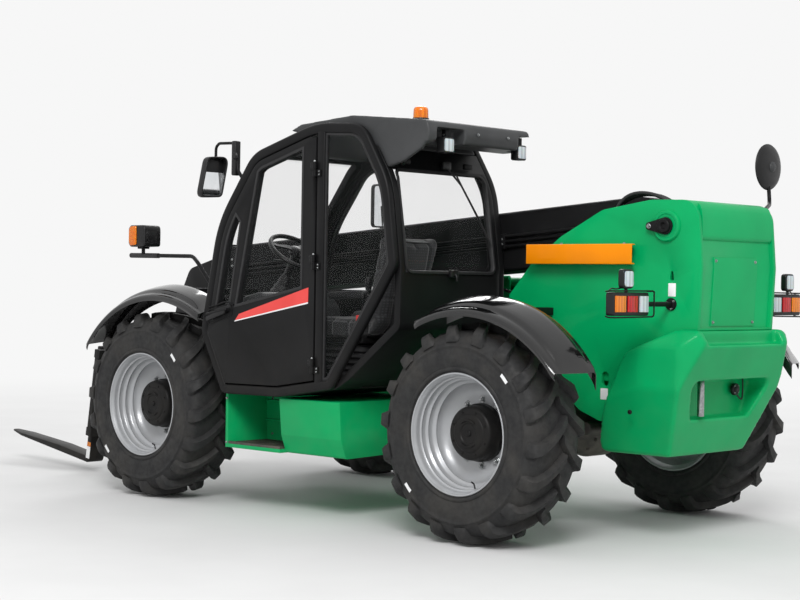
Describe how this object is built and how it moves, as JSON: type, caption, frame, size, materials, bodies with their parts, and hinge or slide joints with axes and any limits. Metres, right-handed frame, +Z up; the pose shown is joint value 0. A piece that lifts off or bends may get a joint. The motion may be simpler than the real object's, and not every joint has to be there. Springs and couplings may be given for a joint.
{
  "type": "telehandler",
  "caption": "Four-wheel-steer telescopic handler: side cab, box-section boom pivoted in a rear tower, pallet forks, chevron-lug tyres, counterweight with tow pin.",
  "frame": {"origin": "on the ground, at the middle of the machine over its whole length and width", "axes": "+X forward, towards the forks; +Y left, the cab side; +Z up"},
  "size_m": [6.165, 2.4499, 2.416],
  "materials": {
    "green_paint": "satin enamel",
    "black_paint": "satin enamel",
    "silver_paint": "satin enamel",
    "orange_paint": "gloss enamel",
    "steel": "bright drawn",
    "chrome_rod": "hard chromed",
    "cast_iron": "painted casting",
    "tyre": "matte",
    "black_plastic": "moulded gloss",
    "grey_plastic": "moulded grain",
    "amber_lens": "translucent amber",
    "pane": "clear",
    "seat_fabric": "woven"
  },
  "bodies": {
    "chassis": {"main_frame": "black_paint", "tower": "green_paint", "boom_pivot_pin": "black_paint", "counterweight": "green_paint", "hitch_pin": "steel", "axle_front": "cast_iron", "axle_rear": "cast_iron", "engine": "cast_iron", "engine_bay": "green_paint", "cab_floor": "black_paint", "cab_rear_wall": "black_paint", "cab_front_wall": "black_paint", "cab_roof": "grey_plastic", "cab_right_wall": "black_paint", "cab_side_frame": "black_paint", "cab_glass": "pane", "seat_base": "grey_plastic", "seat_cushions": "seat_fabric", "console": "grey_plastic", "side_boxes": "green_paint", "fenders": "black_plastic", "rear_lamps": "black_plastic", "roof_lamps": "black_plastic", "front_lamps": "black_plastic", "mirrors": "black_plastic", "beacon": "amber_lens", "boom_prop": "orange_paint"},
    "knuckle_front_left": {"knuckle_front_left": "cast_iron"},
    "wheel_front_left": {"tyre_front_left": "tyre", "rim_front_left": "silver_paint"},
    "knuckle_front_right": {"knuckle_front_right": "cast_iron"},
    "wheel_front_right": {"tyre_front_right": "tyre", "rim_front_right": "silver_paint"},
    "knuckle_rear_left": {"knuckle_rear_left": "cast_iron"},
    "wheel_rear_left": {"tyre_rear_left": "tyre", "rim_rear_left": "silver_paint"},
    "knuckle_rear_right": {"knuckle_rear_right": "cast_iron"},
    "wheel_rear_right": {"tyre_rear_right": "tyre", "rim_rear_right": "silver_paint"},
    "door": {"cab_door": "black_paint", "door_glass": "pane"},
    "hood": {"engine_hood": "green_paint"},
    "boom_outer": {"boom_outer": "black_paint", "boom_pipes": "steel"},
    "boom_middle": {"boom_middle": "black_paint"},
    "boom_inner": {"boom_inner": "black_paint"},
    "carriage": {"carriage": "black_paint", "carriage_pin": "steel", "forks": "black_paint"},
    "lift_barrel": {"lift_cylinder_barrel": "black_paint"},
    "lift_rod": {"lift_cylinder_rod": "chrome_rod"},
    "tilt_barrel": {"tilt_cylinder_barrel": "black_paint"},
    "tilt_rod": {"tilt_cylinder_rod": "chrome_rod"}
  },
  "joints": [
    {"name": "steer_front_left", "type": "hinge", "parent": "chassis", "child": "knuckle_front_left", "pos_m": [0.656, 0.8, 0.592], "axis": [0, 0, 1], "range_deg": [-32, 32]},
    {"name": "steer_front_right", "type": "hinge", "parent": "chassis", "child": "knuckle_front_right", "pos_m": [0.656, -0.8, 0.592], "axis": [0, 0, 1], "range_deg": [-32, 32]},
    {"name": "steer_rear_left", "type": "hinge", "parent": "chassis", "child": "knuckle_rear_left", "pos_m": [-2.044, 0.8, 0.592], "axis": [0, 0, 1], "range_deg": [-32, 32]},
    {"name": "steer_rear_right", "type": "hinge", "parent": "chassis", "child": "knuckle_rear_right", "pos_m": [-2.044, -0.8, 0.592], "axis": [0, 0, 1], "range_deg": [-32, 32]},
    {"name": "roll_front_left", "type": "hinge", "parent": "knuckle_front_left", "child": "wheel_front_left", "pos_m": [0.656, 0.99, 0.592], "axis": [0, 1, 0], "continuous": true},
    {"name": "roll_front_right", "type": "hinge", "parent": "knuckle_front_right", "child": "wheel_front_right", "pos_m": [0.656, -0.99, 0.592], "axis": [0, 1, 0], "continuous": true},
    {"name": "roll_rear_left", "type": "hinge", "parent": "knuckle_rear_left", "child": "wheel_rear_left", "pos_m": [-2.044, 0.99, 0.592], "axis": [0, 1, 0], "continuous": true},
    {"name": "roll_rear_right", "type": "hinge", "parent": "knuckle_rear_right", "child": "wheel_rear_right", "pos_m": [-2.044, -0.99, 0.592], "axis": [0, 1, 0], "continuous": true},
    {"name": "door_swing", "type": "hinge", "parent": "chassis", "child": "door", "pos_m": [-0.9055, 1.162, 1.4], "axis": [0, 0, 1], "range_deg": [0, 95]},
    {"name": "hood_lift", "type": "hinge", "parent": "chassis", "child": "hood", "pos_m": [-0.6965, -0.296, 1.436], "axis": [-1, 0, 0], "range_deg": [0, 50]},
    {"name": "boom_lift", "type": "hinge", "parent": "chassis", "child": "boom_outer", "pos_m": [-2.804, 0, 1.715], "axis": [0, -1, 0], "range_deg": [0, 62]},
    {"name": "boom_extend", "type": "slide", "parent": "boom_outer", "child": "boom_middle", "axis": [0.9971, 0, -0.0758], "range_m": [0, 2.5]},
    {"name": "boom_extend_inner", "type": "slide", "parent": "boom_middle", "child": "boom_inner", "axis": [0.9971, 0, -0.0758], "range_m": [0, 2.5]},
    {"name": "fork_tilt", "type": "hinge", "parent": "boom_inner", "child": "carriage", "pos_m": [1.841, 0, 0.43], "axis": [0, 1, 0], "range_deg": [-4, 60]},
    {"name": "lift_barrel_swing", "type": "hinge", "parent": "chassis", "child": "lift_barrel", "pos_m": [-2.394, 0, 0.96], "axis": [0, -1, 0], "range_deg": [0, 57]},
    {"name": "lift_rod_slide", "type": "slide", "parent": "lift_barrel", "child": "lift_rod", "axis": [0.967, 0, 0.2547], "range_m": [0, 0.87]},
    {"name": "tilt_barrel_swing", "type": "hinge", "parent": "boom_inner", "child": "tilt_barrel", "pos_m": [1.416, 0, 1.33], "axis": [0, -1, 0], "range_deg": [-2, 10]},
    {"name": "tilt_rod_slide", "type": "slide", "parent": "tilt_barrel", "child": "tilt_rod", "axis": [0.6151, 0, -0.7884], "range_m": [-0.033, 0.362]}
  ],
  "couplings": [
    {"joint": "steer_front_right", "follows": "steer_front_left", "ratio": 1},
    {"joint": "steer_rear_right", "follows": "steer_rear_left", "ratio": 1},
    {"joint": "boom_extend_inner", "follows": "boom_extend", "ratio": 1},
    {"joint": "lift_barrel_swing", "follows": "boom_lift", "ratio": 0.89776},
    {"joint": "lift_rod_slide", "follows": "boom_lift", "m_per_rad": 0.79447},
    {"joint": "tilt_barrel_swing", "follows": "fork_tilt", "ratio": 0.14294},
    {"joint": "tilt_rod_slide", "follows": "fork_tilt", "m_per_rad": 0.33579}
  ]
}
